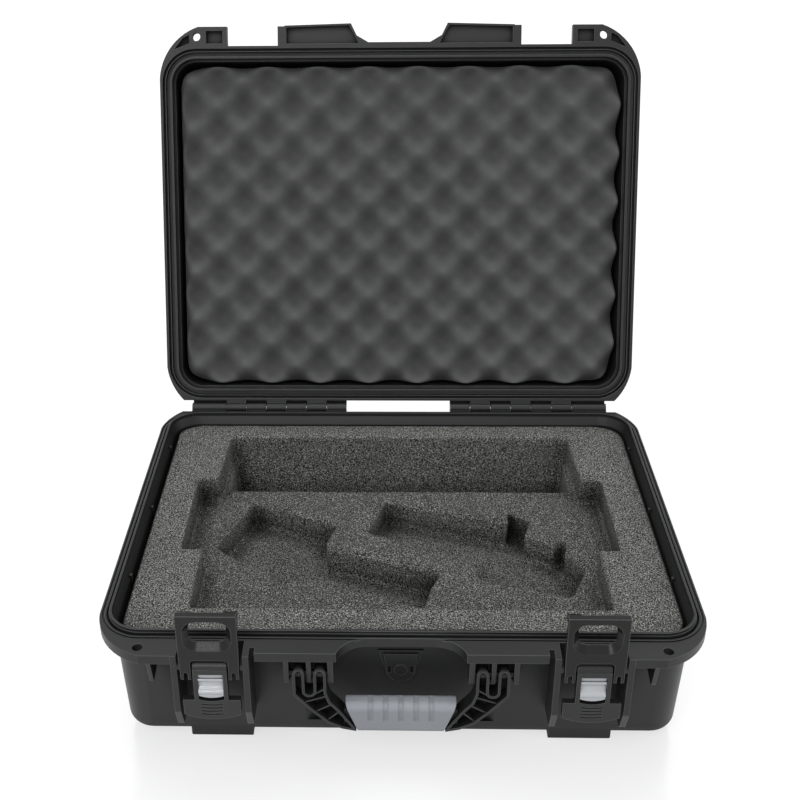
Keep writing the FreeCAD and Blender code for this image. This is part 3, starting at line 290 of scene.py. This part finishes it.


# The last number of each plastic is how much lighter its painted edge highlight is.
shell = plastic("shell_plastic", (0.0115, 0.0118, 0.0123), (0.0155, 0.0159, 0.0165),
                rough=0.40, grain_mm=0.55, bump_mm=0.07, edge_mm=0.9, specular=0.35, edge_highlight=7.0)
claw = plastic("claw_plastic", (0.0040, 0.0041, 0.0043), (0.0060, 0.0062, 0.0064),
               rough=0.28, grain_mm=0.5, bump_mm=0.03, edge_mm=1.2, specular=0.28, edge_highlight=20.0)
lever = plastic("lever_plastic", (0.0090, 0.0092, 0.0096), (0.0120, 0.0123, 0.0127),
                rough=0.32, grain_mm=0.5, bump_mm=0.04, edge_mm=1.0, specular=0.40, edge_highlight=8.0)
lock = plastic("lock_plastic", (0.50, 0.525, 0.55), (0.55, 0.575, 0.60),
               rough=0.14, grain_mm=1.5, bump_mm=0.02, edge_mm=0.6, specular=0.6, edge_highlight=1.6)
grip = rubbery("grip_rubber", (0.29, 0.308, 0.337), (0.32, 0.338, 0.367), 0.55)
seal = rubbery("seal_rubber", (0.030, 0.030, 0.031), (0.040, 0.040, 0.041), 0.6)
membrane = rubbery("membrane_sheet", (0.6, 0.6, 0.58), (0.7, 0.7, 0.68), 0.8)
bright_pin = steel("pin_steel", (0.42, 0.42, 0.41), (0.62, 0.62, 0.61), 0.34)
black_pin = steel("blackened_steel", (0.012, 0.012, 0.012), (0.022, 0.022, 0.023), 0.38)
base_skin = cut_foam("cut_foam", dark=(0.007, 0.007, 0.0066), mid=(0.070, 0.070, 0.067),
                     light=(0.235, 0.235, 0.226), fleck=(0.62, 0.62, 0.60))
lid_skin = soft_foam("convoluted_foam", (0.098, 0.099, 0.101), (0.130, 0.131, 0.133))

FINISH = {
    "base_shell": shell, "lid_shell": shell, "handle_frame": shell, "valve_cap": shell, "valve_body": shell,
    "handle_grip": grip, "lid_gasket": seal, "valve_seal": seal, "valve_membrane": membrane,
}
PAIRS = {
    "latch_claw_": claw, "latch_lever_": lever, "latch_slide_": lock,
    "hinge_pin_": bright_pin, "handle_pin_": black_pin, "latch_pin_": black_pin,
}
for kind, material in PAIRS.items():
    for side in ("left", "right"):
        FINISH[kind + side] = material
for name, material in FINISH.items():
    for spot in nodes[name].material_slots:
        spot.material = material


# Foam pieces

def link(name, mesh, material):
    piece = bpy.data.objects.new(name, mesh)
    scene.collection.objects.link(piece)
    mesh.materials.clear()
    mesh.materials.append(material)
    return piece


def smoothed(mesh):
    mesh.polygons.foreach_set("use_smooth", [True] * len(mesh.polygons))


def baked(piece):
    """Replaces a piece's mesh with the one its modifiers make."""
    graph = bpy.context.evaluated_depsgraph_get()
    mesh = bpy.data.meshes.new_from_object(piece.evaluated_get(graph))
    piece.modifiers.clear()
    piece.data = mesh
    return mesh


def coordinates(mesh):
    points = np.empty(len(mesh.vertices) * 3)
    mesh.vertices.foreach_get("co", points)
    return points.reshape(-1, 3)


def put_coordinates(mesh, points):
    mesh.vertices.foreach_set("co", points.ravel())
    mesh.update()


def base_foam(layers, voxel, wobble, overlap):
    """The stack of cut foam as one piece: bonded layers, softened cut edges and slightly uneven faces.

    Each layer reaches down into the one below by the overlap, so that the two become one form.
    """
    fine_scale, fine_share, broad_scale = 190.0, 0.6, 45.0
    stack = bmesh.new()
    for node in layers:
        first = len(stack.verts)
        stack.from_mesh(nodes[node].data)
        stack.verts.ensure_lookup_table()
        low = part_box(node)[0][2]
        for vert in stack.verts[first:]:
            if vert.co.z < low + overlap and node != layers[0]:
                vert.co.z -= overlap
    mesh = bpy.data.meshes.new("foam_insert")
    stack.to_mesh(mesh)
    stack.free()
    piece = link("foam_insert", mesh, base_skin)
    remesh = piece.modifiers.new("remesh", "REMESH")
    remesh.mode = "VOXEL"
    remesh.voxel_size = voxel
    smooth = piece.modifiers.new("smooth", "SMOOTH")
    smooth.factor = 0.5
    smooth.iterations = 1
    mesh = baked(piece)
    points = coordinates(mesh)
    for i, p in enumerate(points):
        where = Vector(p)
        push = noise.noise_vector(where * fine_scale) * fine_share + noise.noise_vector(where * broad_scale)
        points[i] += np.array(push) * wobble
    low, high = np.array(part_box(layers[0])[0]), np.array(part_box(layers[-1])[1])
    put_coordinates(mesh, np.clip(points, low, high))
    smoothed(mesh)
    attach(piece, "base")
    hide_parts(*layers)


def lid_foam():
    """Convoluted foam sheet: rows of peaks and deep dimples, with a rounded and scalloped cut edge.

    It is formed in the closed lid's place, with its peaks down, and then turned with the lid.
    """
    half, corner = 0.231, 0.024
    front, back = -0.1575, 0.1785
    peak_z, base_z = 0.1167, 0.162
    relief, fullness = 0.0175, 0.8
    pitch_x, pitch_y = 0.0529, 0.0500
    start_x, start_y = -0.0055, 0.0087
    jog_scale, jog_size, depth_play = 14.0, 0.0016, 60.0
    round_depth, round_reach = 0.0016, 0.003
    scallop_size, scallop_reach = 0.0022, 0.008
    swell, taper = 0.0004, 0.0022
    corner_rows, middle_rows, columns = 16, 118, 203
    middle_y, reach_y = (front + back) / 2, (back - front) / 2

    # Rows from front to back, closer together at the corners, and how far each one reaches sideways
    near = corner * (1.0 - np.cos(np.linspace(0.0, math.pi / 2, corner_rows)))
    middle = np.linspace(corner, back - front - corner, middle_rows)[1:-1]
    rows = np.concatenate([near, middle, (back - front) - near[::-1]]) + front
    into_corner = np.maximum(0.0, np.abs(rows - middle_y) - (reach_y - corner))
    reach = half - corner + np.sqrt(np.maximum(0.0, corner ** 2 - into_corner ** 2))

    # Face with peaks and dimples
    points, faces = [], []
    for y, w in zip(rows, reach):
        for u in np.linspace(-1.0, 1.0, columns):
            x = u * w
            jog = noise.noise_vector(Vector((x * jog_scale, y * jog_scale, 3.0))) * jog_size
            wave = math.cos(2 * math.pi * (x + jog.x - start_x) / pitch_x)
            wave *= math.cos(2 * math.pi * (y + jog.y - start_y) / pitch_y)
            sunk = ((1.0 - wave) / 2) ** fullness
            deep = sunk * relief * (1.0 + jog.z * depth_play)
            side = min(w - abs(x), y - front, back - y)
            ease = round_depth * max(0.0, 1.0 - side / round_reach) ** 2
            pull = scallop_size * sunk * max(0.0, 1.0 - side / scallop_reach)
            points.append((x - pull * x / half, y - pull * (y - middle_y) / reach_y, peak_z + deep + ease))
    for i in range(len(rows) - 1):
        for k in range(i * columns, (i + 1) * columns - 1):
            faces.append((k, k + columns, k + columns + 1, k + 1))

    # Cut sides, which narrow towards the back, and the flat back
    last = (len(rows) - 1) * columns
    loop = list(range(columns)) + [i * columns + columns - 1 for i in range(1, len(rows))]
    loop += [last + j for j in range(columns - 2, -1, -1)]
    loop += [i * columns for i in range(len(rows) - 2, 0, -1)]
    ring, count = loop, len(loop)
    for share in (0.25, 0.6, 1.0):
        under = list(range(len(points), len(points) + count))
        inward = swell * math.sin(share * 3.0) + taper * share ** 3
        for k in loop:
            x, y, z = points[k]
            points.append((x - inward * x / half, y - inward * (y - middle_y) / reach_y,
                           z + (base_z - z) * share))
        for i in range(count):
            j = (i + 1) % count
            faces.append((ring[i], ring[j], under[j], under[i]))
        ring = under
    faces.append(tuple(ring))

    mesh = bpy.data.meshes.new("lid_convoluted_foam")
    mesh.from_pydata(points, [], faces)
    turned = Matrix.Translation((0, HINGE_Y, HINGE_Z)) @ Matrix.Rotation(-LID_OPEN, 4, "X")
    mesh.transform(turned @ Matrix.Translation((0, -HINGE_Y, -HINGE_Z)))
    mesh.update()
    piece = link("lid_convoluted_foam", mesh, lid_skin)
    smoothed(mesh)
    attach(piece, "lid")
    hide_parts("foam_lid")


base_foam(("foam_bottom_pad", "foam_under_block", "foam_mic_tray", "foam_top_frame"),
          voxel=0.0021, wobble=0.00022, overlap=0.001)
lid_foam()


# Floor, light and camera

FLOOR_SIZE, FLOOR_GAP = 12.0, 0.0002
FLOOR_MATT = (0.30, 0.302, 0.305)
FLOOR_GLOSS = (0.12, 0.12, 0.12)
FLOOR_ROUGHNESS = 0.20
FLOOR_WHITE = 0.67
WORLD_LIGHT, WORLD_WHITE = 0.58, 1.0

# Name, azimuth, elevation, strength and width of each soft light: azimuth 0 is in front, 90 at the right
SUNS = (
    ("top", 180.0, 77.0, 0.85, 34.0),
    ("key", -32.0, 50.0, 0.60, 24.0),
    ("front", -10.0, 24.0, 0.34, 11.0),
    ("right", 78.0, 24.0, 0.30, 14.0),
)

# Camera fitted to the photograph: angles in radians, shift as a share of the frame's width
EYE = (-0.01044, -0.92633, 0.75031)
YAW, PITCH, ROLL = -0.0308381177, 0.488339866, -0.0128123369
SENSOR_MM, LENS_MM = 36.0, 53.89
SHIFT_X, SHIFT_Y = 0.05505, -0.02599
CLIP_END = 50.0


def seen_share(tree):
    """Node output that is 1 for rays that show the floor or backdrop as it looks and 0 for its light."""
    rays = tree.nodes.new("ShaderNodeLightPath")
    total = rays.outputs["Is Camera Ray"]
    for kind in ("Is Glossy Ray", "Is Transmission Ray"):
        more = tree.nodes.new("ShaderNodeMath")
        more.operation = "MAXIMUM"
        tree.links.new(total, more.inputs[0])
        tree.links.new(rays.outputs[kind], more.inputs[1])
        total = more.outputs[0]
    return total


def floor():
    """White gloss sheet: pale matt colour, a faint mirror image and the white that the camera sees."""
    mesh = bpy.data.meshes.new("floor")
    size, z = FLOOR_SIZE, cad_box[0][2] - FLOOR_GAP
    mesh.from_pydata([(-size, -size, z), (size, -size, z), (size, size, z), (-size, size, z)], [],
                     [(0, 1, 2, 3)])
    material = bpy.data.materials.new("studio_floor")
    material.use_nodes = True
    tree = material.node_tree
    tree.nodes.clear()
    out = tree.nodes.new("ShaderNodeOutputMaterial")
    matt = tree.nodes.new("ShaderNodeBsdfDiffuse")
    matt.inputs["Color"].default_value = solid(FLOOR_MATT)
    gloss = tree.nodes.new("ShaderNodeBsdfGlossy")
    gloss.inputs["Color"].default_value = solid(FLOOR_GLOSS)
    gloss.inputs["Roughness"].default_value = FLOOR_ROUGHNESS
    glow = tree.nodes.new("ShaderNodeEmission")
    white = tree.nodes.new("ShaderNodeMath")
    white.operation = "MULTIPLY"
    white.inputs[1].default_value = FLOOR_WHITE
    tree.links.new(seen_share(tree), white.inputs[0])
    tree.links.new(white.outputs[0], glow.inputs["Strength"])
    total = matt.outputs[0]
    for shader in (gloss, glow):
        add = tree.nodes.new("ShaderNodeAddShader")
        tree.links.new(total, add.inputs[0])
        tree.links.new(shader.outputs[0], add.inputs[1])
        total = add.outputs[0]
    tree.links.new(total, out.inputs["Surface"])
    link("floor", mesh, material)


def world():
    """Even white backdrop that lights the case at a plain level."""
    made = bpy.data.worlds.new("studio")
    made.use_nodes = True
    tree = made.node_tree
    back = tree.nodes["Background"]
    level = tree.nodes.new("ShaderNodeMapRange")
    level.inputs["To Min"].default_value = WORLD_LIGHT
    level.inputs["To Max"].default_value = WORLD_WHITE
    tree.links.new(seen_share(tree), level.inputs["Value"])
    tree.links.new(level.outputs["Result"], back.inputs["Strength"])
    back.inputs["Color"].default_value = solid(grey(1.0))
    scene.world = made


def sun(name, azimuth, elevation, strength, width):
    data = bpy.data.lights.new(name, "SUN")
    data.energy = strength
    data.angle = math.radians(width)
    lamp = bpy.data.objects.new(name, data)
    a, e = math.radians(azimuth), math.radians(elevation)
    towards = Vector((math.sin(a) * math.cos(e), -math.cos(a) * math.cos(e), math.sin(e)))
    lamp.rotation_euler = towards.to_track_quat("Z", "Y").to_euler()
    scene.collection.objects.link(lamp)


def camera():
    data = bpy.data.cameras.new("photo_view")
    data.sensor_width = SENSOR_MM
    data.lens = LENS_MM
    data.shift_x = SHIFT_X
    data.shift_y = SHIFT_Y
    data.clip_end = CLIP_END
    eye = bpy.data.objects.new("photo_view", data)
    ahead = Vector((math.sin(YAW) * math.cos(PITCH), math.cos(YAW) * math.cos(PITCH), -math.sin(PITCH)))
    level_right = Vector((math.cos(YAW), -math.sin(YAW), 0.0))
    level_up = level_right.cross(ahead)
    right = math.cos(ROLL) * level_right + math.sin(ROLL) * level_up
    up = -math.sin(ROLL) * level_right + math.cos(ROLL) * level_up
    eye.matrix_world = Matrix.Translation(EYE) @ Matrix((right, up, -ahead)).transposed().to_4x4()
    scene.collection.objects.link(eye)
    scene.camera = eye


floor()
world()
for light in SUNS:
    sun(*light)
camera()
scene.view_settings.view_transform = "Standard"
